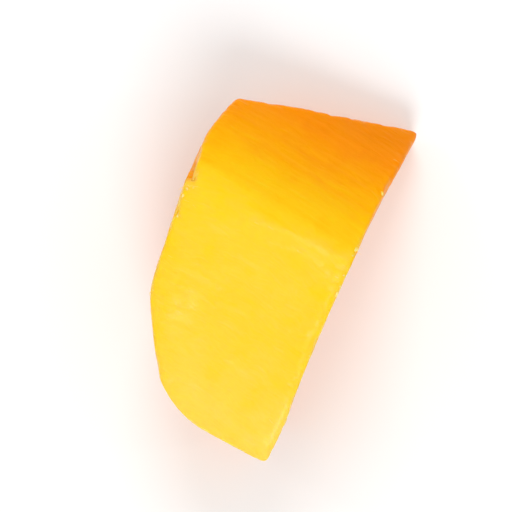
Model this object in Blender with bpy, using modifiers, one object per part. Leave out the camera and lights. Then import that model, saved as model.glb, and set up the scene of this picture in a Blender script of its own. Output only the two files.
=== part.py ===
"""Mango chunk: one cut piece of peeled mango flesh, lying on the flat cut beside the stone.

The piece is made in a cook's order. Long knife strokes take the skin off, which leaves soft
facets that curve from top to bottom. Straight cuts then free the piece: a top cut, a slanted
cut behind it, a side cut, a back cut and the base. The edges are rounded, the wet flesh is
made a little uneven, and the base is pressed flat.

X runs across the piece, Y along it with the slanted cut at the back, and Z up. While the
piece is cut, the origin is on the base under the right end of the ridge, where the top cut
meets the slanted cut. The finished piece has its origin at the middle of its base.
"""

import math

import bmesh
import bpy
from mathutils import Vector, noise

NAME = "mango_chunk"
MM = 0.001

# The ridge, and the two cuts that fall away from it. A knife rolls a little on its way
# through, so each cut starts at its first slope and ends at its last.
RIDGE_HEIGHT = 22.5 * MM
TOP_HEADING = 266.4
TOP_SLOPES = (12.5, 18.5)
TOP_RUN = 24.0 * MM
SLANT_HEADING = 89.1
SLANT_SLOPES = (43.0, 54.0)
SLANT_RUN = 25.0 * MM
ROLL_STEPS = 8

# The ridge is crisp at its right end and widens into a soft roll at its left.
SOFT_RADIUS = 7.0 * MM
SOFT_STEPS = 5

# The other straight cuts: the way each faces, in plan and up or down, in degrees, and how
# far its plane is from the origin.
SIDE_CUT = {"heading": -0.5, "rise": -0.5, "distance": 0.80 * MM}
BACK_CUT = {"heading": 109.0, "rise": -14.0, "distance": 13.9 * MM}
BASE_CUT = {"heading": 0.0, "rise": -90.0, "distance": 0.0}

# The knife bowed on its way along the side cut, and left it hollow: where along Y the hollow
# is deepest, how far it reaches each way, its depth, and how far in from the cut it is felt.
SIDE_BOW = {"middle": -0.5 * MM, "reach": 18.0 * MM, "depth": 1.0 * MM, "felt": 7.0 * MM}

# The block of fruit that the piece is cut from.
BLOCK_SIZE = 60.0 * MM

# The knife strokes of the peeling: the way each faces in plan, in degrees, and its distance
# from the origin where it stands out furthest, at the height of the fullest part.
PEEL_STROKES = (
    (174.0, 20.7 * MM),
    (187.0, 20.1 * MM),
    (211.0, 22.2 * MM),
    (239.0, 24.6 * MM),
    (269.0, 23.5 * MM),
)
PEEL_RADIUS = 40.0 * MM
PEEL_FULLEST = 16.5 * MM
PEEL_STEP = 4.0 * MM
PEEL_TOP = 22.0 * MM

# How soft the flesh is where two strokes or two cuts meet.
STROKE_VOXEL = 0.8 * MM
STROKE_ROUNDS = 48
EDGE_VOXEL = 0.2 * MM
EDGE_ROUNDS = 36

# Unevenness: slow waves over the whole surface, and finer ones on top of them.
WAVES = (
    (11.0 * MM, 0.22 * MM),
    (4.5 * MM, 0.09 * MM),
)

# Dents: place, radius and depth. The knife sank a little into the top cut and the slanted
# cut, and it nicked the edges where fibres held it.
DENTS = (
    (Vector((-9.0, -12.0, 19.0)) * MM, 9.0 * MM, 0.25 * MM),
    (Vector((-8.0, 9.0, 12.5)) * MM, 8.0 * MM, 0.25 * MM),
    (Vector((-20.3, 1.9, 20.6)) * MM, 1.9 * MM, 0.85 * MM),
    (Vector((-20.4, -2.6, 21.3)) * MM, 1.5 * MM, 0.35 * MM),
    (Vector((-14.8, -18.9, 16.8)) * MM, 2.0 * MM, 0.22 * MM),
    (Vector((0.6, 9.0, 12.0)) * MM, 1.8 * MM, 0.30 * MM),
    (Vector((0.2, -9.5, 19.8)) * MM, 1.6 * MM, 0.25 * MM),
)

FLAT_BELOW = 0.35 * MM
TRIANGLES = 7600
FLESH = (1.0, 0.52, 0.03, 1.0)


def clear_scene():
    for thing in list(bpy.data.objects):
        bpy.data.objects.remove(thing, do_unlink=True)


def facing(heading, rise):
    """The unit vector that points this way in plan and this far up, both in degrees."""
    turn = math.radians(heading)
    lift = math.radians(rise)
    return Vector((math.cos(turn) * math.cos(lift), math.sin(turn) * math.cos(lift), math.sin(lift)))


def cut(solid, point, normal):
    """Take away what lies on the normal's side of a plane, and close the wound."""
    everything = solid.verts[:] + solid.edges[:] + solid.faces[:]
    made = bmesh.ops.bisect_plane(
        solid, geom=everything, plane_co=point, plane_no=normal, clear_outer=True
    )
    rim = [piece for piece in made["geom_cut"] if isinstance(piece, bmesh.types.BMEdge)]
    if rim:
        bmesh.ops.edgeloop_fill(solid, edges=rim)


def rolled_cut(solid, heading, slopes, run):
    """Cut from the ridge downhill along an arc, as flat steps too small to see."""
    downhill = facing(heading, 0)
    point = Vector((0, 0, RIDGE_HEIGHT))
    stride = run / ROLL_STEPS
    for step in range(ROLL_STEPS):
        share = (step + 0.5) / ROLL_STEPS
        slope = slopes[0] + (slopes[1] - slopes[0]) * share
        along = downhill * math.cos(math.radians(slope)) - Vector((0, 0, math.sin(math.radians(slope))))
        cut(solid, point + along * stride / 2, facing(heading, 90 - slope))
        point += along * stride


def soften_ridge(solid):
    """Round the ridge with planes about a cone, whose point is at the ridge's right end."""
    length = PEEL_STROKES[1][1]
    top = Vector((0, 0, RIDGE_HEIGHT))
    front, back = -TOP_SLOPES[0], SLANT_SLOPES[0]
    middle = (front + back) / 2
    spread = math.cos(math.radians(back - middle))
    for step in range(SOFT_STEPS):
        slope = front + (back - front) * (step + 1) / (SOFT_STEPS + 1)
        depth = SOFT_RADIUS * (math.cos(math.radians(slope - middle)) / spread - 1)
        normal = facing(90, 90 - slope)
        along = Vector((-length, 0, 0)) - normal * depth
        cut(solid, top, along.cross(normal.cross(along)).normalized())


def peel(solid):
    """Each stroke is flat across and follows the fruit's curve up its length."""
    levels = int(PEEL_TOP / PEEL_STEP) + 1
    for heading, distance in PEEL_STROKES:
        for level in range(levels):
            rise = math.degrees(math.asin((level * PEEL_STEP - PEEL_FULLEST) / PEEL_RADIUS))
            inside = facing(heading, 0) * (distance - PEEL_RADIUS) + Vector((0, 0, PEEL_FULLEST))
            normal = facing(heading, rise)
            cut(solid, inside + normal * PEEL_RADIUS, normal)


def apply_modifiers(piece):
    """Make what the modifiers show the piece's own mesh."""
    graph = bpy.context.evaluated_depsgraph_get()
    made = bpy.data.meshes.new_from_object(piece.evaluated_get(graph))
    old = piece.data
    piece.modifiers.clear()
    piece.data = made
    bpy.data.meshes.remove(old)
    made.name = piece.name


def round_off(piece, voxel, rounds):
    """Even out the mesh at this voxel size, then smooth it, which rounds its edges."""
    remesh = piece.modifiers.new("even mesh", "REMESH")
    remesh.mode = "VOXEL"
    remesh.voxel_size = voxel
    smooth = piece.modifiers.new("soft edges", "SMOOTH")
    smooth.factor = 0.5
    smooth.iterations = rounds
    apply_modifiers(piece)


def shape(piece, step):
    """Run one step of the making on the piece's mesh."""
    solid = bmesh.new()
    solid.from_mesh(piece.data)
    step(solid)
    bmesh.ops.recalc_face_normals(solid, faces=solid.faces)
    solid.to_mesh(piece.data)
    solid.free()


def peeled_block():
    """A block of fruit, larger than the piece, with its skin side already peeled."""
    bpy.ops.mesh.primitive_cube_add(size=BLOCK_SIZE)
    piece = bpy.context.object
    piece.name = NAME
    piece.data.name = NAME
    shape(piece, peel)
    round_off(piece, STROKE_VOXEL, STROKE_ROUNDS)
    return piece


def part_from_cheek(solid):
    """The cuts that part the piece from the rest of the fruit."""
    rolled_cut(solid, TOP_HEADING, TOP_SLOPES, TOP_RUN)
    rolled_cut(solid, SLANT_HEADING, SLANT_SLOPES, SLANT_RUN)
    soften_ridge(solid)
    for straight in (SIDE_CUT, BACK_CUT, BASE_CUT):
        normal = facing(straight["heading"], straight["rise"])
        cut(solid, normal * straight["distance"], normal)


def swing(share):
    """0 below 0, 1 above 1, and a smooth rise between."""
    share = min(1.0, max(0.0, share))
    return share * share * (3 - 2 * share)


def bow_side(solid):
    """Draw the side cut in where the knife bowed."""
    for vertex in solid.verts:
        along = max(0.0, 1 - ((vertex.co.y - SIDE_BOW["middle"]) / SIDE_BOW["reach"]) ** 2)
        inwards = swing(1 + vertex.co.x / SIDE_BOW["felt"])
        vertex.co.x -= SIDE_BOW["depth"] * along * inwards


def unevenness(place):
    """How far the wet flesh stands out or falls in at this place."""
    swell = 0.0
    for length, height in WAVES:
        swell += noise.noise(place / length) * height
    for middle, radius, depth in DENTS:
        swell -= depth * swing(1 - (place - middle).length / radius)
    return swell


def make_uneven(solid):
    """Push each point out or in along its normal."""
    solid.normal_update()
    moved = [vertex.co + vertex.normal * unevenness(vertex.co) for vertex in solid.verts]
    for vertex, place in zip(solid.verts, moved):
        vertex.co = place


def press_flat(solid):
    """The piece lies on its base, which is soft and so lies flat."""
    for vertex in solid.verts:
        if vertex.co.z < FLAT_BELOW:
            vertex.co.z = 0


def thin_out(piece):
    """Keep the points where the surface bends, and few where it is flat."""
    faces = sum(len(face.vertices) - 2 for face in piece.data.polygons)
    decimate = piece.modifiers.new("fewer faces", "DECIMATE")
    decimate.ratio = TRIANGLES / faces
    apply_modifiers(piece)


def stand_on_origin(piece):
    """Move the mesh so that the middle of its base is the origin."""
    corners = [vertex.co for vertex in piece.data.vertices]
    middle = Vector((0, 0, 0))
    for axis in (0, 1):
        places = [corner[axis] for corner in corners]
        middle[axis] = (min(places) + max(places)) / 2
    for vertex in piece.data.vertices:
        vertex.co -= middle


def flesh():
    material = bpy.data.materials.new("mango flesh")
    material.use_nodes = True
    shader = material.node_tree.nodes["Principled BSDF"]
    shader.inputs["Base Color"].default_value = FLESH
    shader.inputs["Roughness"].default_value = 0.35
    shader.inputs["Metallic"].default_value = 0.0
    material.diffuse_color = FLESH
    return material


def file_under(piece, title):
    """Put the piece in a collection of this name."""
    home = bpy.data.collections.new(title)
    bpy.context.scene.collection.children.link(home)
    for collection in list(piece.users_collection):
        collection.objects.unlink(piece)
    home.objects.link(piece)


clear_scene()
chunk = peeled_block()
shape(chunk, part_from_cheek)
round_off(chunk, EDGE_VOXEL, EDGE_ROUNDS)
shape(chunk, bow_side)
shape(chunk, make_uneven)
shape(chunk, press_flat)
thin_out(chunk)
shape(chunk, press_flat)
stand_on_origin(chunk)
chunk.data.materials.append(flesh())
chunk.data.shade_smooth()
file_under(chunk, "mango chunk")
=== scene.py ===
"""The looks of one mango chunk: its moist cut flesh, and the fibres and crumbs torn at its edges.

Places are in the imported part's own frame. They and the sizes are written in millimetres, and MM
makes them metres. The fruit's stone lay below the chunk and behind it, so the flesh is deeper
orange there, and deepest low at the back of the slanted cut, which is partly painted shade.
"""

import math

import bmesh
import bpy
import numpy as np
from mathutils import Matrix, Vector, kdtree, noise


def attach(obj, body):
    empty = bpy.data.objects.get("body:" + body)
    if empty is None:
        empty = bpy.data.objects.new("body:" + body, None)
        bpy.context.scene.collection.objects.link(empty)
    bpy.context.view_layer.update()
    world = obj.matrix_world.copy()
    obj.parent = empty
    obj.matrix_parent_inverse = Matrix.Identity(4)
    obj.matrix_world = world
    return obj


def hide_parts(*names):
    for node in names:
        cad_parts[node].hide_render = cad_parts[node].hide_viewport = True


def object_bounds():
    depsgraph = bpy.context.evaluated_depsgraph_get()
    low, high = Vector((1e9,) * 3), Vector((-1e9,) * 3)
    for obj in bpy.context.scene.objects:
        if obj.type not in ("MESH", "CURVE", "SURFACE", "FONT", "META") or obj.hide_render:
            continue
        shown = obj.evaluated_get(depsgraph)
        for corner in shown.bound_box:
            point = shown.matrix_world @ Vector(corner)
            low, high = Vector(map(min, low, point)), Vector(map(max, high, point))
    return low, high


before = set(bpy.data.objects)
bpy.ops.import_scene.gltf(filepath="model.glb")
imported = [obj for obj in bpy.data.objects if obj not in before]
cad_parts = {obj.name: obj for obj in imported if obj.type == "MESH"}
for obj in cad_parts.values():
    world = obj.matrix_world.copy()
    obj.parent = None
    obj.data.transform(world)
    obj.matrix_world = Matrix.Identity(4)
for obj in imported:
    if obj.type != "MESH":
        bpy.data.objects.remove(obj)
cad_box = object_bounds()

# ---------------------------------------------------------------------------------------------
# The flesh. A chunk of ripe mango flesh, peeled with a knife and then cut straight, so that it
# is smooth and wet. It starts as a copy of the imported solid, evened out to a fine mesh, and
# gets the low relief that the knife and the fibres leave.
# ---------------------------------------------------------------------------------------------

MM = 0.001
NODE = "mango_chunk"

# The fine mesh: points closer than this are merged, and then the size of its faces, and how
# many rounds of smoothing it gets and how far each goes.
MERGE_WITHIN = 0.001 * MM
FINE_VOXEL = 0.2 * MM
SMOOTH_ROUNDS = 10
SMOOTH_SHARE = 0.5

# All that lies lower than this, in mm, is flat on the table.
FLAT_BELOW = 0.25

# The fibres run across the chunk and rise a little, on a slight curve, in degrees and mm.
FIBRE_HEADING = -5.0
FIBRE_RISE = 7.0
FIBRE_CURVE_RADIUS = 60.0

# Relief: how long the waves are, a shift that gives each kind its own noise, and how high they
# are, in mm. The fibres' waves are measured along, across and up through them. An edge is ragged
# where its noise is above a limit.
FIBRE_RELIEF = (((7.0, 0.75, 0.75), 11.0, 0.036), ((4.0, 0.42, 0.42), 11.0, 0.020))
SWELL = ((3.2, 3.2, 3.2), 0.0, 0.055)
RAGGED = ((0.9, 0.9, 0.9), 3.0, 0.18)
RAGGED_ABOVE = 0.1
TORN_RELIEF = ((0.5, 0.5, 0.5), 9.0, 0.05)

# Strands that the knife dragged along the ridge, then the broad smears that it left at the
# ridge's right end and at the tip: half the width, and points in plan, in mm. They show only
# on the upper side, above two heights between which they fade in. The grain that breaks them
# up has waves along, across and up through the fibres, and a shift. The shares are what a
# strand has without the grain, and what the grain adds or takes.
STRANDS = (
    (0.60, ((-1.6, 3.5), (1.5, 3.7), (4.8, 3.7), (9.0, 3.4))),
    (0.50, ((0.8, 1.95), (3.6, 2.45), (6.6, 2.3))),
    (1.00, ((7.7, 1.5), (8.8, 1.9))),
    (1.10, ((7.6, -18.6), (8.6, -18.2))),
    (0.90, ((7.2, -15.8), (8.0, -15.4))),
)
STRAND_HEIGHT = 0.07
STRAND_GRAIN = ((2.2, 0.3, 0.3), 5.0)
STRAND_SHARES = (0.6, 0.4)
UPPER_SIDE = (14.5, 15.5)

# The flake that broke off at the ridge's left end. Along Y: the line where it starts, how that
# line leans with height and the height where it is measured, how wide its sharp step is, and how
# far the flake runs on. Then its depth, the heights between which it fades in, and the places
# along X between which it fades out, in mm. The waves of its crooked edge have a length, a shift
# and a reach.
FLAKE = {
    "from": 4.05,
    "lean": 0.18,
    "measured at": 20.5,
    "step": 0.3,
    "run": 4.4,
    "depth": 0.80,
    "heights": (13.5, 16.5),
    "sides": (-10.6, -8.4),
}
CROOKED = (((2.0, 2.0, 2.0), 4.0, 0.50), ((0.8, 0.8, 0.8), 4.0, 0.30))

# Small tears: place, radius and depth, in mm.
TEARS = (
    ((-9.85, 0.6, 20.9), 0.8, 0.32),
    ((-10.1, 2.4, 21.2), 0.6, 0.16),
    ((8.0, 1.65, 22.0), 0.6, 0.08),
    ((8.8, 2.8, 22.3), 0.6, 0.08),
    ((9.85, 5.3, 20.6), 0.5, 0.20),
    ((9.85, -0.4, 21.7), 0.5, 0.20),
    ((10.0, 10.4, 15.8), 0.5, 0.20),
    ((9.9, -10.6, 19.0), 0.7, 0.14),
    ((-1.5, -19.2, 16.0), 0.8, 0.15),
)

# Where the flesh is torn, which makes it paler, and its fibres stick out: place, reach and how
# thick they stand. A wound falls off between two shares of its reach. Its grain has waves and a
# shift, and the shares are what a wound has without it, and what it adds or takes.
WOUNDS = (
    ((-10.2, 4.2, 20.8), 1.3, 1.0),
    ((-10.2, 2.8, 21.2), 1.3, 0.6),
    ((-9.9, 0.9, 21.2), 0.9, 0.9),
    ((8.0, 1.65, 22.0), 0.7, 0.6),
    ((8.8, 2.8, 22.3), 0.7, 0.6),
    # These three on the right edge are paler partly as painted glints.
    ((9.8, 5.4, 20.6), 0.6, 0.9),
    ((9.8, -0.2, 21.7), 0.6, 0.9),
    ((10.0, 10.5, 15.8), 0.6, 0.9),
)
WOUND_FALL = (0.3, 1.3)
WOUND_GRAIN = ((0.55, 0.55, 0.55), 13.0)
WOUND_SHARES = (0.6, 0.8)

# How much the edges and the strands are torn. On an edge it comes and goes: the waves and shift
# of its noise, and the two values between which it sets in.
TORN_EDGE = 0.12
TORN_STRAND = 0.25
TORN_PATCHES = ((2.5, 2.5, 2.5), 7.0)
TORN_BETWEEN = (0.15, 0.65)

# An edge stands out from what lies round it, found by so many rounds of averaging. It counts in
# full from so many mm.
EDGE_ROUNDS = 40
EDGE_FULL = 0.16

# The peeled side: the headings it faces, in degrees, how much it faces up or down at most, and
# how deep the flesh just below the skin is coloured by it, in mm.
PEELED_HEADINGS = (150, 278)
PEELED_UPWARD = 0.55
SKIN_BAND = 2.4

# A side starts to be steep where it faces up less than this, and is wholly so where it is
# upright or hangs over.
STEEP_BELOW = 0.5

# The slanted cut is drier than the others: the way it faces, and how nearly a point has to face
# that way to be partly and wholly on it.
SLANTED = (0.01, 0.75, 0.66)
ON_SLANTED = (0.80, 0.95)

# The left end of the ridge is rounder than the imported solid, and its colour is painted lighter
# there: the middle of the swelling, how far it reaches along X and Y, its height, in mm, and how
# much a point faces up to get it all.
ROLL = {"middle": (-10.5, 4.9), "reach": (11.0, 2.4), "height": 0.20, "upward": 0.6}

# The flesh is palest furthest from the stone, and these are its colours at so many mm from it.
# The deepest, low at the back of the slanted cut, are partly painted shade.
AWAY_FROM_STONE_AND_SHADE = (0.0, -0.35, 1.0)
PALEST = 27.0
SHADES = (
    (1.0, (0.850, 0.240, 0.000)),
    (5.0, (0.935, 0.280, 0.000)),
    (10.6, (0.995, 0.388, 0.000)),
    (15.4, (1.000, 0.508, 0.002)),
    (19.0, (1.000, 0.602, 0.010)),
    (21.5, (1.000, 0.602, 0.034)),
    (27.0, (1.000, 0.652, 0.110)),
)

# What makes the flesh paler, coloured as flesh further from the stone, or deeper, as flesh
# nearer, in mm. Drift and the fine fibres go both ways. A steep side shows the ends of the
# fibres. The edge, the roll and the tip are painted light, and the steep one is painted shade.
# Skin and the right end only darken a band along the peeled side and the right edge of the top
# cut.
PALER = {
    "drift": 4.0,
    "fine": 3.0,
    "thick": 1.1,
    "thick ends": 1.6,
    "thin": 0.8,
    "thin ends": 1.2,
    "edge": 0.8,
    "strand": 1.1,
    "roll": 2.2,
    "torn": 4.0,
    "tip sheen": 1.8,
}
DEEPER = {"bands": 1.2, "patches": 1.4, "skin": 1.6, "steep": 4.5, "right end": 2.0}

# A steep side, with its painted shade, is no deeper than this, in mm from the stone, with its
# fibres and bands on top.
STEEP_FLOOR = {"flesh": 4.8, "thick": 2.5, "bands": 6.0}

# Where these set in and are full: the values of their noise, or mm to the front and the right.
# The paler tip is painted sheen. The deeper right end fades out towards the tip.
BANDS_BETWEEN = (0.50, 0.72)
PATCHES_BETWEEN = (0.50, 0.70)
TIP_SHEEN_BETWEEN = (11.0, 18.0)
RIGHT_BETWEEN = (5.5, 9.5)
RIGHT_FADES = (8.0, 14.0)

# Pale fibres, thick and thin: how long they are, how far apart, and how wide, in mm and as a
# share of that distance. The core, a share of the width, is palest. Fibres stray from their
# line by some mm. The fine ones and the bands are noise drawn out the same way.
THICK_FIBRES = {"length": 13.0, "spacing": 1.7, "width": 0.30}
THIN_FIBRES = {"length": 6.0, "spacing": 0.8, "width": 0.28}
FIBRE_CORE = 0.3
FIBRE_STRAY = (0.0, 1.6, 1.6)
FINE_DRAWN_OUT = (0.6, 4.5, 4.5)
BANDS_DRAWN_OUT = (0.07, 0.55, 0.55)

# The surface: its roughness and the film of juice on it, each a least value and what is added
# to it. The dry, slanted cut and torn flesh take shares of the film away. Then how much each
# grain counts in the bumps, and how strong and high they are.
ROUGH = {"least": 0.24, "patches": 0.16, "grain": 0.08, "torn": 0.15}
ROUGH_BETWEEN = (0.35, 0.65)
WET = {"least": 0.06, "film": 0.34, "dry": 0.7, "torn": 0.8}
FILM_BETWEEN = (0.42, 0.66)
BUMPS = {"thick": 0.35, "thin": 0.35, "bands": 0.5, "grain": 0.5, "fine": 0.6}
BUMP = {"Strength": 0.5, "Distance": 0.12 * MM}
FLESH_SURFACE = {
    "IOR": 1.10,
    "Specular Tint": (1.0, 0.80, 0.30, 1),
    "Subsurface Weight": 0.65,
    "Subsurface Radius": (1.0, 0.42, 0.08),
    "Subsurface Scale": 1.3 * MM,
    "Coat Roughness": 0.12,
    "Coat IOR": 1.34,
}


def add(name, data):
    """A new object in the scene."""
    piece = bpy.data.objects.new(name, data)
    bpy.context.scene.collection.objects.link(piece)
    return piece


def plain_mesh(piece):
    """Make what the modifiers show the piece's own mesh."""
    graph = bpy.context.evaluated_depsgraph_get()
    made = bpy.data.meshes.new_from_object(piece.evaluated_get(graph))
    piece.modifiers.clear()
    piece.data = made


def fine_copy(node, name):
    """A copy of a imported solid, merged and evened out to small faces."""
    solid = bmesh.new()
    solid.from_mesh(node.data)
    bmesh.ops.remove_doubles(solid, verts=solid.verts, dist=MERGE_WITHIN)
    mesh = bpy.data.meshes.new(name)
    solid.to_mesh(mesh)
    solid.free()
    piece = add(name, mesh)
    remesh = piece.modifiers.new("fine faces", "REMESH")
    remesh.mode = "VOXEL"
    remesh.voxel_size = FINE_VOXEL
    smooth = piece.modifiers.new("soft", "SMOOTH")
    smooth.factor = SMOOTH_SHARE
    smooth.iterations = SMOOTH_ROUNDS
    plain_mesh(piece)
    return piece


def places_of(mesh):
    """The places of a mesh's points, in mm."""
    found = np.zeros(len(mesh.vertices) * 3, np.float32)
    mesh.vertices.foreach_get("co", found)
    return found.reshape(-1, 3).astype(float) / MM


def normals_of(mesh):
    """The way that each of a mesh's points faces."""
    found = np.zeros(len(mesh.vertices) * 3, np.float32)
    mesh.vertex_normals.foreach_get("vector", found)
    return found.reshape(-1, 3).astype(float)


def rise(values, low, high):
    """0 below low, 1 above high, and a smooth rise between."""
    share = np.clip((values - low) / (high - low), 0, 1)
    return share * share * (3 - 2 * share)


def ripple(places, lengths, shift, height=1.0):
    """Smooth noise, from about minus the height to the height, in waves of these lengths."""
    apart = Vector((shift, -shift, 2 * shift))
    waves = places / np.array(lengths)
    return height * np.array([noise.noise(Vector(place) + apart) for place in waves])


def along_fibres(places):
    """The places measured along the fibres, across them and up through them."""
    turn, lift = math.radians(FIBRE_HEADING), math.radians(FIBRE_RISE)
    forward = places[:, 0] * math.cos(turn) + places[:, 1] * math.sin(turn)
    across = places[:, 1] * math.cos(turn) - places[:, 0] * math.sin(turn)
    along = forward * math.cos(lift) + places[:, 2] * math.sin(lift)
    up = places[:, 2] * math.cos(lift) - forward * math.sin(lift)
    return np.stack([along, across + along**2 / (2 * FIBRE_CURVE_RADIUS), up], 1)


def near_line(places, points, half_width):
    """1 on a line through these points in plan, falling to 0 at the half width."""
    plan = places[:, :2]
    nearest = np.full(len(plan), np.inf)
    for start, end in zip(points, points[1:]):
        start, run = np.array(start), np.subtract(end, start)
        share = np.clip((plan - start) @ run / (run @ run), 0, 1)
        away = np.linalg.norm(plan - start - share[:, None] * run, axis=1)
        nearest = np.minimum(nearest, away)
    return 1 - rise(nearest, 0, half_width)


def near_place(places, middle, low, high):
    """1 closer to a place than low, and 0 further off than high, in mm."""
    return 1 - rise(np.linalg.norm(places - np.array(middle), axis=1), low, high)


def convexity(mesh, places, normals):
    """How far each point stands out from its surroundings, in mm: high on an edge."""
    pairs = np.zeros(len(mesh.edges) * 2, np.int32)
    mesh.edges.foreach_get("vertices", pairs)
    first, second = pairs.reshape(-1, 2).T
    count = len(places)
    shared = np.bincount(first, minlength=count) + np.bincount(second, minlength=count)
    around = places.copy()
    for _ in range(EDGE_ROUNDS):
        total = np.stack(
            [
                np.bincount(first, around[second, axis], count)
                + np.bincount(second, around[first, axis], count)
                for axis in range(3)
            ],
            1,
        )
        around = total / shared[:, None]
    return np.einsum("ij,ij->i", places - around, normals)


def below_skin(places, normals):
    """How far each point is from the side that was peeled, in mm."""
    heading = np.degrees(np.arctan2(normals[:, 1], normals[:, 0])) % 360
    first, last = PEELED_HEADINGS
    peeled = (heading > first) & (heading < last) & (np.abs(normals[:, 2]) < PEELED_UPWARD)
    found = kdtree.KDTree(int(peeled.sum()))
    for index, place in enumerate(places[peeled]):
        found.insert(place, index)
    found.balance()
    return np.array([found.find(place)[2] for place in places])


def note(mesh, name, values):
    """Keep a value, or a vector, for each point of the mesh."""
    kind, field = ("FLOAT", "value") if values.ndim == 1 else ("FLOAT_VECTOR", "vector")
    kept = mesh.attributes.new(name, kind, "POINT")
    kept.data.foreach_set(field, values.astype(np.float32).ravel())


flesh = fine_copy(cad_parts[NODE], "cut_flesh")
places, normals = places_of(flesh.data), normals_of(flesh.data)
height = places[:, 2]
upward = normals[:, 2]
edge = rise(convexity(flesh.data, places, normals), 0, EDGE_FULL)
fibres = along_fibres(places)

# The strands and the torn flesh, as shares from 0 to 1.
upper = rise(height, *UPPER_SIDE)
strands = np.zeros(len(places))
for half_width, points in STRANDS:
    strands = np.maximum(strands, near_line(places, points, half_width) * upper)
least, more = STRAND_SHARES
strands *= least + more * ripple(fibres, *STRAND_GRAIN)

torn_edge = TORN_EDGE * edge * rise(ripple(places, *TORN_PATCHES), *TORN_BETWEEN)
torn = torn_edge + TORN_STRAND * strands
least, more = WOUND_SHARES
for middle, reach, share in WOUNDS:
    near = near_place(places, middle, *(reach * part for part in WOUND_FALL))
    torn = np.maximum(torn, share * near * (least + more * ripple(places, *WOUND_GRAIN)))

# The low relief, outwards from the smooth solid.
swell = STRAND_HEIGHT * strands
for waves in FIBRE_RELIEF:
    swell += ripple(fibres, *waves)
swell += ripple(places, *SWELL)
lengths, shift, depth = RAGGED
swell -= depth * edge * np.clip(ripple(places, lengths, shift) - RAGGED_ABOVE, 0, 1)
swell += torn * ripple(places, *TORN_RELIEF)
off_roll = (places[:, :2] - np.array(ROLL["middle"])) / np.array(ROLL["reach"])
roll = 1 - rise(np.linalg.norm(off_roll, axis=1), 0, 1)
roll *= rise(upward, 0, ROLL["upward"]) * upper
swell += ROLL["height"] * roll
for middle, radius, depth in TEARS:
    swell -= depth * near_place(places, middle, 0, radius)
shaped = places + normals * swell[:, None]

# The flake, which takes the left side in along X.
past_step = places[:, 1] - FLAKE["from"] - FLAKE["lean"] * (FLAKE["measured at"] - height)
for waves in CROOKED:
    past_step -= ripple(places, *waves)
flake = rise(past_step, 0, FLAKE["step"]) * np.clip(1 - past_step / FLAKE["run"], 0, 1)
flake *= rise(height, *FLAKE["heights"])
flake *= 1 - rise(places[:, 0], *FLAKE["sides"])
shaped[:, 0] += FLAKE["depth"] * flake

# The flat base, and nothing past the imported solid's box.
shaped[:, 2][shaped[:, 2] < FLAT_BELOW] = 0
low, high = (np.array(corner) / MM for corner in cad_box)
shaped = np.clip(shaped, low, high)
flesh.data.vertices.foreach_set("co", (shaped * MM).astype(np.float32).ravel())
flesh.data.update()
flesh.data.shade_smooth()

# What the material and the torn fibres read at each point.
note(flesh.data, "fibres", fibres)
note(flesh.data, "edge", edge)
note(flesh.data, "strand", np.clip(strands, 0, 1))
note(flesh.data, "roll", roll)
note(flesh.data, "torn", np.clip(torn, 0, 1))
note(flesh.data, "skin", 1 - rise(below_skin(places, normals), 0, SKIN_BAND))
note(flesh.data, "steep", 1 - rise(upward, 0, STEEP_BELOW))
note(flesh.data, "dry", rise(normals @ np.array(SLANTED), *ON_SLANTED))


class Flow:
    """A value on its way through a tree of nodes, with the sums written as sums."""

    def __init__(self, tree, socket=None):
        self.tree, self.socket = tree, socket

    def make(self, kind, settings=(), sockets=(), out=0):
        """Add a node: its type, its settings, then the values or links of its sockets."""
        node = self.tree.nodes.new(kind)
        for name, value in dict(settings).items():
            if name == "stops":
                ramp = node.color_ramp.elements
                while len(ramp) < len(value):
                    ramp.new(0.5)
                for stop, (at, colour) in zip(ramp, value):
                    stop.position, stop.color = at, (*colour, 1)
            else:
                setattr(node, name, value)
        for name, value in dict(sockets).items():
            if isinstance(value, Flow):
                self.tree.links.new(value.socket, node.inputs[name])
            else:
                node.inputs[name].default_value = value
        return Flow(self.tree, node.outputs[out])

    def sum(self, operation, first, second):
        return self.make("ShaderNodeMath", {"operation": operation}, {0: first, 1: second})

    def __add__(self, other):
        return self.sum("ADD", self, other)

    def __sub__(self, other):
        return self.sum("SUBTRACT", self, other)

    def __rsub__(self, other):
        return self.sum("SUBTRACT", other, self)

    def __mul__(self, other):
        return self.sum("MULTIPLY", self, other)

    __radd__ = __add__
    __rmul__ = __mul__

    def rise(self, low, high):
        """0 below low, 1 above high, and a smooth rise between."""
        return self.make(
            "ShaderNodeMapRange",
            {"interpolation_type": "SMOOTHSTEP"},
            {"Value": self, "From Min": low, "From Max": high},
        )

    def also(self, name):
        """Another output of the node that this value comes from."""
        return Flow(self.tree, self.socket.node.outputs[name])

    def feed(self, shader, name):
        """Link this value to one of the shader's sockets."""
        self.tree.links.new(self.socket, shader.inputs[name])


def vector(flow, operation, first, second, out=0):
    """A sum with two vectors."""
    sockets = {0: first, 1: second}
    return flow.make("ShaderNodeVectorMath", {"operation": operation}, sockets, out)


def scaled(flow, first, factor):
    """A vector made longer or shorter."""
    return flow.make("ShaderNodeVectorMath", {"operation": "SCALE"}, {0: first, "Scale": factor})


def how_far(flow, place, way):
    """How far a place lies in a direction."""
    return vector(flow, "DOT_PRODUCT", place, way, out=1)


def noted(flow, name):
    """A value that the mesh keeps for each point."""
    return flow.make("ShaderNodeAttribute", {"attribute_name": name}, out=2)


def noise_at(flow, where, scale=1.0, detail=2.0, roughness=0.5, distortion=0.0):
    """Noise from 0 to 1."""
    return flow.make(
        "ShaderNodeTexNoise",
        sockets={
            "Vector": where,
            "Scale": scale,
            "Detail": detail,
            "Roughness": roughness,
            "Distortion": distortion,
        },
    )


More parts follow.
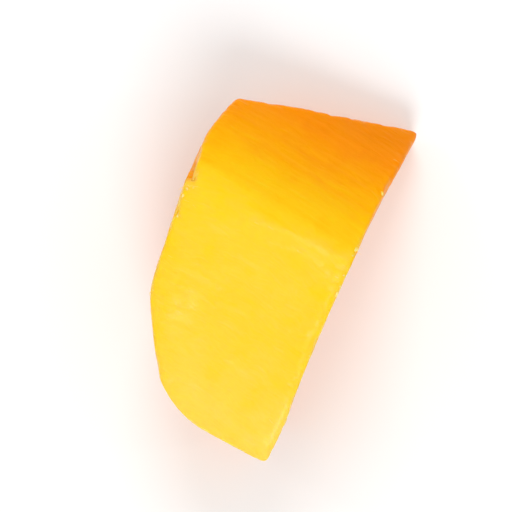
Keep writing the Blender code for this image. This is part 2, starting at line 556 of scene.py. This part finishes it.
def rods(flow, where, length, spacing, width):
    """Long thin grains along the fibres: streaks on a cut along them, dots on one across."""
    cells = vector(flow, "MULTIPLY", where, (1 / length, 1 / spacing, 1 / spacing))
    away = flow.make("ShaderNodeTexVoronoi", {"feature": "F1"}, {"Vector": cells, "Scale": 1.0})
    return 1 - away.rise(width * FIBRE_CORE, width)


def new_material(name, surface):
    """A material, its shader with these constants, and a Flow that makes its other nodes."""
    material = bpy.data.materials.new(name)
    material.use_nodes = True
    shader = material.node_tree.nodes["Principled BSDF"]
    for socket, value in surface.items():
        shader.inputs[socket].default_value = value
    return material, shader, Flow(material.node_tree)


def flesh_material():
    """Ripe mango flesh: golden, orange towards the stone, pale fibres, a wet film, painted light
    and shade.
    """
    material, shader, flow = new_material("mango flesh", FLESH_SURFACE)
    object_place = flow.make("ShaderNodeTexCoord", out=3)
    place = scaled(flow, object_place, 1 / MM)
    # Deeper orange lower and further back: flesh nearer the stone, and painted shade low on the
    # slanted cut.
    from_stone_and_shade = how_far(flow, place, AWAY_FROM_STONE_AND_SHADE)
    front = how_far(flow, place, (0.0, -1.0, 0.0))
    right = how_far(flow, place, (1.0, 0.0, 0.0))
    fibre_place = flow.make("ShaderNodeAttribute", {"attribute_name": "fibres"}, out=1)
    edge = noted(flow, "edge")
    strand = noted(flow, "strand")
    roll = noted(flow, "roll")
    skin = noted(flow, "skin")
    torn = noted(flow, "torn")
    steep = noted(flow, "steep")
    dry = noted(flow, "dry")

    # Fibres are thick and thin rods, and broad bands of deeper flesh run the same way.
    strays = flow.make(
        "ShaderNodeVectorMath",
        {"operation": "MULTIPLY_ADD"},
        {
            0: noise_at(flow, place, scale=0.35, detail=1.0).also("Color"),
            1: FIBRE_STRAY,
            2: fibre_place,
        },
    )
    thick = rods(flow, strays, **THICK_FIBRES)
    thin = rods(flow, strays, **THIN_FIBRES)
    fine = noise_at(flow, vector(flow, "MULTIPLY", strays, FINE_DRAWN_OUT)) - 0.5
    drawn_out = vector(flow, "MULTIPLY", fibre_place, BANDS_DRAWN_OUT)
    bands = noise_at(flow, drawn_out, distortion=0.3)
    patches = noise_at(flow, place, scale=0.30, detail=3.0, roughness=0.55, distortion=0.3)
    drift = noise_at(flow, place, scale=0.11) - 0.5
    grain = noise_at(flow, place, scale=2.6, detail=3.0, roughness=0.6)
    film = noise_at(flow, place, scale=0.42, detail=3.0, roughness=0.6, distortion=0.5)

    # Depth of colour, in mm from the stone. What is paler is coloured as flesh further from it,
    # and what is deeper as flesh nearer to it. A steep side gets painted shade, coloured deeper.
    level = from_stone_and_shade + drift * PALER["drift"] + fine * PALER["fine"]
    level = level + thick * (PALER["thick"] + PALER["thick ends"] * steep)
    level = level + thin * (PALER["thin"] + PALER["thin ends"] * steep)
    level = level - bands.rise(*BANDS_BETWEEN) * DEEPER["bands"]
    level = level - patches.rise(*PATCHES_BETWEEN) * DEEPER["patches"]
    level = level - skin * DEEPER["skin"]
    # Painted highlight: the edges are paler, as where light catches them. The strands are pale
    # flesh.
    level = level + edge * PALER["edge"] + strand * PALER["strand"]
    # Painted light: the rounder left end of the ridge is paler, as if it caught more light. Torn
    # flesh is paler.
    level = level + roll * PALER["roll"] + torn * PALER["torn"]
    # Painted shade: the steep sides are coloured deeper, as if in shadow.
    level = level - steep * DEEPER["steep"]
    # Painted sheen: the front tip is paler, as where the light glances off it.
    level = level + front.rise(*TIP_SHEEN_BETWEEN) * PALER["tip sheen"]
    right_end = right.rise(*RIGHT_BETWEEN) * (1 - front.rise(*RIGHT_FADES)) * (1 - dry)
    level = level - right_end * DEEPER["right end"]
    # The painted shade on a steep side goes no deeper than this floor.
    floor = steep * STEEP_FLOOR["flesh"] + thick * steep * STEEP_FLOOR["thick"]
    floor = floor + (bands - 0.5) * steep * STEEP_FLOOR["bands"]
    level = flow.sum("MAXIMUM", level, floor)
    colour = flow.make(
        "ShaderNodeValToRGB",
        {"stops": [(away / PALEST, shade) for away, shade in SHADES]},
        {"Fac": level * (1 / PALEST)},
    )
    colour.feed(shader, "Base Color")

    roughness = ROUGH["least"] + ROUGH["patches"] * patches.rise(*ROUGH_BETWEEN)
    roughness = roughness + ROUGH["grain"] * grain + ROUGH["torn"] * torn
    roughness.feed(shader, "Roughness")
    wet = WET["least"] + WET["film"] * film.rise(*FILM_BETWEEN)
    wet = wet * (1 - WET["dry"] * dry) * (1 - WET["torn"] * torn)
    wet.feed(shader, "Coat Weight")

    bumps = thick * BUMPS["thick"] + thin * BUMPS["thin"] + bands * BUMPS["bands"]
    bumps = bumps + grain * BUMPS["grain"] + fine * BUMPS["fine"]
    bump = flow.make("ShaderNodeBump", sockets={**BUMP, "Height": bumps})
    bump.feed(shader, "Normal")
    return material


flesh.data.materials.clear()
flesh.data.materials.append(flesh_material())
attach(flesh, "root")
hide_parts(NODE)

# ---------------------------------------------------------------------------------------------
# The torn fibres. Where the knife dragged instead of cutting, the ends of the fibres stick out
# of the wound: short, pale, tapering hairs that lie over on the wet flesh.
# ---------------------------------------------------------------------------------------------

# A hair's shortest and longest length. Then, for a hair 1 long: its half thickness, the share of
# that which the taper takes, the four points of its bend, and the least and the most that its
# arch is multiplied by.
HAIR_LENGTH = (0.30 * MM, 0.90 * MM)
HAIR_THICKNESS = 0.035
HAIR_TAPER = 0.8
HAIR_BEND = ((-0.1, 0, -0.08), (0.25, 0, 0.08), (0.60, 0, 0.10), (1, 0, 0.02))
HAIR_ARCH = (0.2, 1.6)

# How far a hair strays from the fibres' direction and lifts off the flesh, for 1 along it, and
# how far it rolls, in radians.
HAIR_STRAY = (0.30, 0.30, 0.20)
HAIR_LIFT = 0.2
HAIR_ROLL = 1.2

# How thick the hairs stand where the flesh is wholly torn, how finely one is made, and the seed
# of what is left to chance.
HAIRS_PER_SQUARE_MM = 45.0
HAIR_SIDES = 5
HAIR_STEPS = 6
HAIR_SEED = 4

# The fibre's colours, yellow and pale, in spots so many to the metre, and its roughness.
FIBRE_SHADES = ((0.35, (0.98, 0.60, 0.06)), (0.65, (1.0, 0.78, 0.26)))
FIBRE_SPOTS = 900.0
FIBRE_ROUGH = (0.25, 0.2)
FIBRE_SURFACE = {"IOR": 1.36}


def random_vector(flow, low, high, seed):
    """A vector for each point, by chance, between these two."""
    settings = {"data_type": "FLOAT_VECTOR"}
    return flow.make("FunctionNodeRandomValue", settings, {0: low, 1: high, "Seed": seed})


def random_number(flow, low, high, seed):
    """A number for each point, by chance, between these two."""
    settings = {"data_type": "FLOAT"}
    return flow.make("FunctionNodeRandomValue", settings, {2: low, 3: high, "Seed": seed}, out=1)


def hair_tree():
    """Short bent hairs on the mesh, thick where its points are torn, along the fibres."""
    tree = bpy.data.node_groups.new("torn fibres", "GeometryNodeTree")
    for name, kind in (
        ("Flesh", "Geometry"),
        ("Per square metre", "Float"),
        ("Shortest", "Float"),
        ("Longest", "Float"),
        ("Thickness", "Float"),
        ("Seed", "Int"),
        ("Material", "Material"),
    ):
        tree.interface.new_socket(name=name, in_out="INPUT", socket_type="NodeSocket" + kind)
    tree.interface.new_socket(name="Hairs", in_out="OUTPUT", socket_type="NodeSocketGeometry")
    flow = Flow(tree)
    given = flow.make("NodeGroupInput")
    seed = given.also("Seed")

    torn = flow.make("GeometryNodeInputNamedAttribute", {"data_type": "FLOAT"}, {"Name": "torn"})
    density = torn * torn * given.also("Per square metre")
    points = flow.make(
        "GeometryNodeDistributePointsOnFaces",
        sockets={"Mesh": given, "Density": density, "Seed": seed},
    )
    normal = points.also("Normal")

    # Each hair lies along the fibres, strays to a side, and lifts a little off the surface.
    turn, lift = math.radians(FIBRE_HEADING), math.radians(FIBRE_RISE)
    run = (math.cos(turn) * math.cos(lift), math.sin(turn) * math.cos(lift), math.sin(lift))
    sunk = vector(flow, "PROJECT", run, normal)
    flat = vector(flow, "SUBTRACT", run, sunk)
    most = Vector(HAIR_STRAY)
    side = random_vector(flow, -most, most, seed)
    up = scaled(flow, normal, random_number(flow, 0.0, HAIR_LIFT, seed))
    heading = vector(flow, "ADD", flat, vector(flow, "ADD", side, up))
    turned = flow.make("FunctionNodeAlignRotationToVector", {"axis": "X"}, {"Vector": heading})
    turned = flow.make(
        "FunctionNodeAlignRotationToVector",
        {"axis": "Z", "pivot_axis": "X"},
        {"Rotation": turned, "Vector": normal},
    )
    turned = flow.make(
        "FunctionNodeRotateRotation",
        {"rotation_space": "LOCAL"},
        {
            "Rotation": turned,
            "Rotate By": random_vector(flow, (-HAIR_ROLL, 0, 0), (HAIR_ROLL, 0, 0), seed),
        },
    )

    # One hair, 1 long, and thinner towards its tip.
    bend = flow.make(
        "GeometryNodeCurvePrimitiveBezierSegment",
        {"mode": "POSITION"},
        {"Resolution": HAIR_STEPS, **dict(zip((1, 2, 3, 4), HAIR_BEND))},
    )
    ring = flow.make(
        "GeometryNodeCurvePrimitiveCircle",
        {"mode": "RADIUS"},
        {"Resolution": HAIR_SIDES, "Radius": 1.0},
    )
    along = flow.make("GeometryNodeSplineParameter")
    hair = flow.make(
        "GeometryNodeCurveToMesh",
        sockets={
            "Curve": bend,
            "Profile Curve": ring,
            "Scale": (1 - HAIR_TAPER * along) * given.also("Thickness"),
            "Fill Caps": True,
        },
    )
    length = random_number(flow, given.also("Shortest"), given.also("Longest"), seed)
    lowest, highest = HAIR_ARCH
    arch = random_vector(flow, (1, 1, lowest), (1, 1, highest), seed)
    placed = flow.make(
        "GeometryNodeInstanceOnPoints",
        sockets={
            "Points": points,
            "Instance": hair,
            "Rotation": turned,
            "Scale": scaled(flow, arch, length),
        },
    )
    real = flow.make("GeometryNodeRealizeInstances", sockets={"Geometry": placed})
    smooth = flow.make("GeometryNodeSetShadeSmooth", sockets={"Geometry": real})
    done = flow.make(
        "GeometryNodeSetMaterial",
        sockets={"Geometry": smooth, "Material": given.also("Material")},
    )
    tree.links.new(done.socket, tree.nodes.new("NodeGroupOutput").inputs[0])
    return tree


def torn_material(name, shades, spots_per_metre, roughness, surface):
    """Torn flesh or fibre: pale, spotted with yellow, and wet."""
    material, shader, flow = new_material(name, surface)
    object_place = flow.make("ShaderNodeTexCoord", out=3)
    spots = noise_at(flow, object_place, spots_per_metre)
    flow.make("ShaderNodeValToRGB", {"stops": shades}, {"Fac": spots}).feed(shader, "Base Color")
    least, more = roughness
    (least + more * spots).feed(shader, "Roughness")
    return material


def with_inputs(piece, tree, **values):
    """Put the tree on the piece as a modifier, with these values for its named inputs."""
    modifier = piece.modifiers.new(tree.name, "NODES")
    modifier.node_group = tree
    inputs = [item for item in tree.interface.items_tree if item.in_out == "INPUT"]
    sockets = {item.name: item.identifier for item in inputs}
    for name, value in values.items():
        modifier[sockets[name.replace("_", " ")]] = value


def leave_out(mesh, each, low, high):
    """Take away the hairs, of so many points each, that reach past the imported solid's box."""
    spots = places_of(mesh).reshape(-1, each, 3)
    past = ((spots < low) | (spots > high)).any(axis=(1, 2))
    solid = bmesh.new()
    solid.from_mesh(mesh)
    gone = [vertex for vertex in solid.verts if past[vertex.index // each]]
    bmesh.ops.delete(solid, geom=gone, context="VERTS")
    solid.to_mesh(mesh)
    solid.free()


hairs = add("torn_fibres", flesh.data.copy())
shortest, longest = HAIR_LENGTH
with_inputs(
    hairs,
    hair_tree(),
    Per_square_metre=HAIRS_PER_SQUARE_MM / MM**2,
    Shortest=shortest,
    Longest=longest,
    Thickness=HAIR_THICKNESS,
    Seed=HAIR_SEED,
    Material=torn_material("torn fibre", FIBRE_SHADES, FIBRE_SPOTS, FIBRE_ROUGH, FIBRE_SURFACE),
)
plain_mesh(hairs)
leave_out(hairs.data, HAIR_SIDES * (HAIR_STEPS + 1), low, high)
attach(hairs, "root")

# ---------------------------------------------------------------------------------------------
# The crumbs. Small wet crumbs of flesh that the knife tore off cling to the edges where it came
# out, and lie in the nick. They are uneven lumps, and paler than the cut, as torn fibre is. On
# the right edge their paleness is also painted glints.
# ---------------------------------------------------------------------------------------------

# Crumbs: the place in plan, and the radius of the ball that a crumb is made from, in mm.
CRUMBS = (
    ((9.87, 5.54), 0.27),
    ((10.05, -0.07), 0.26),
    ((9.68, 12.05), 0.20),
    ((9.75, 4.75), 0.10),
    ((9.80, 0.85), 0.11),
    ((9.90, -7.30), 0.09),
    ((9.40, 2.15), 0.10),
    ((-9.85, 3.45), 0.15),
    ((-10.05, 2.55), 0.17),
    ((-9.95, 0.35), 0.14),
    ((-9.20, 3.90), 0.08),
)

# How a ball is stretched in length, width and height, how uneven it gets, how close its lumps
# are together, and how finely it is made.
CRUMB_SHAPE = (1.15, 0.85, 0.60)
CRUMB_UNEVEN = 0.55
CRUMB_LUMPS = 1.3
CRUMB_SUBDIVISIONS = 4

# A crumb is put on the point of the flesh nearest to its place. Each mm further down counts as
# so many mm further off, so that it stands on the edge and not on the side below it.
LOWER_COUNTS = 0.6

# The crumbs' colours, yellow and pale, in spots so many to the metre, and their roughness. The
# pale is partly painted glint.
CRUMB_AND_GLINT_SHADES = ((0.35, (1.0, 0.62, 0.06)), (0.65, (1.0, 0.78, 0.27)))
CRUMB_SPOTS = 4000.0
CRUMB_ROUGH = (0.15, 0.20)
CRUMB_SURFACE = {
    "IOR": 1.36,
    "Subsurface Weight": 0.5,
    "Subsurface Radius": (1.0, 0.42, 0.08),
    "Subsurface Scale": 0.3 * MM,
}


def add_crumb(solid, middle, normal, radius):
    """An uneven lump, turned by its place, that stands half sunk in the surface."""
    ball = bmesh.ops.create_icosphere(solid, subdivisions=CRUMB_SUBDIVISIONS, radius=1.0)["verts"]
    for vertex in ball:
        vertex.co *= 1 + CRUMB_UNEVEN * noise.noise(vertex.co * CRUMB_LUMPS + middle)
    stand = normal.to_track_quat("Z", "Y").to_matrix().to_4x4()
    turn = Matrix.Rotation(middle.y, 4, "Z")
    size = Matrix.Diagonal((*(radius * MM * side for side in CRUMB_SHAPE), 1))
    place = Matrix.Translation(middle * MM) @ stand @ turn @ size
    bmesh.ops.transform(solid, matrix=place, verts=ball)


crumbs_solid = bmesh.new()
surface, facing = places_of(flesh.data), normals_of(flesh.data)
for spot, radius in CRUMBS:
    away = np.linalg.norm(surface[:, :2] - np.array(spot), axis=1)
    nearest = int(np.argmin(away + LOWER_COUNTS * (high[2] - surface[:, 2])))
    add_crumb(crumbs_solid, Vector(surface[nearest]), Vector(facing[nearest]), radius)
crumbs = add("crumbs", bpy.data.meshes.new("crumbs"))
crumbs_solid.to_mesh(crumbs.data)
crumbs_solid.free()
crumbs.data.materials.append(
    torn_material("torn flesh and painted glints", CRUMB_AND_GLINT_SHADES, CRUMB_SPOTS, CRUMB_ROUGH, CRUMB_SURFACE)
)
crumbs.data.shade_smooth()
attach(crumbs, "root")

# ---------------------------------------------------------------------------------------------
# The table, the light and the camera. A plain white table in a bright room, with a softbox on
# either side and two small lamps for the wet glints. The camera looks straight down.
# ---------------------------------------------------------------------------------------------

TABLE_SIZE = 3000.0 * MM
TABLE_SURFACE = {"Base Color": (0.9, 0.9, 0.9, 1), "Roughness": 0.6}
ROOM_LIGHT = {"Color": (1, 1, 1, 1), "Strength": 0.62}

# The lights: name, place and width in metres, and power in watts.
LIGHTS = (
    ("softbox in front", (0.27, -0.58, 0.76), 0.5, 4.3),
    ("softbox behind", (-0.30, 0.62, 0.72), 0.5, 3.3),
    ("lamp", (-0.72, 0.05, 0.69), 0.08, 0.30),
    ("lamp opposite", (0.66, 0.25, 0.70), 0.08, 0.20),
)

# How far the picture is turned, in degrees, how high the camera stands, and how much it shows.
PICTURE_TURN = 25.1
CAMERA_HEIGHT = 620.0 * MM
SHOWN_WIDTH = 57.0 * MM
SENSOR = 36.0

bpy.ops.mesh.primitive_plane_add(size=TABLE_SIZE)
table = bpy.context.object
table.name = "table"
table.data.materials.append(new_material("white table", TABLE_SURFACE)[0])

world = bpy.data.worlds.new("bright room")
bpy.context.scene.world = world
world.use_nodes = True
for name, value in ROOM_LIGHT.items():
    world.node_tree.nodes["Background"].inputs[name].default_value = value

for name, place, width, power in LIGHTS:
    light = bpy.data.lights.new(name, "AREA")
    light.shape, light.size, light.energy = "DISK", width, power
    holder = add(name, light)
    holder.location = place
    holder.rotation_euler = (-Vector(place)).to_track_quat("-Z", "Y").to_euler()

lens = bpy.data.cameras.new("camera")
lens.sensor_width = SENSOR
lens.lens = SENSOR * CAMERA_HEIGHT / SHOWN_WIDTH
camera = add("camera", lens)
camera.location = (0, 0, CAMERA_HEIGHT)
camera.rotation_euler = (0, 0, math.radians(PICTURE_TURN))
bpy.context.scene.camera = camera
bpy.context.scene.view_settings.view_transform = "Standard"
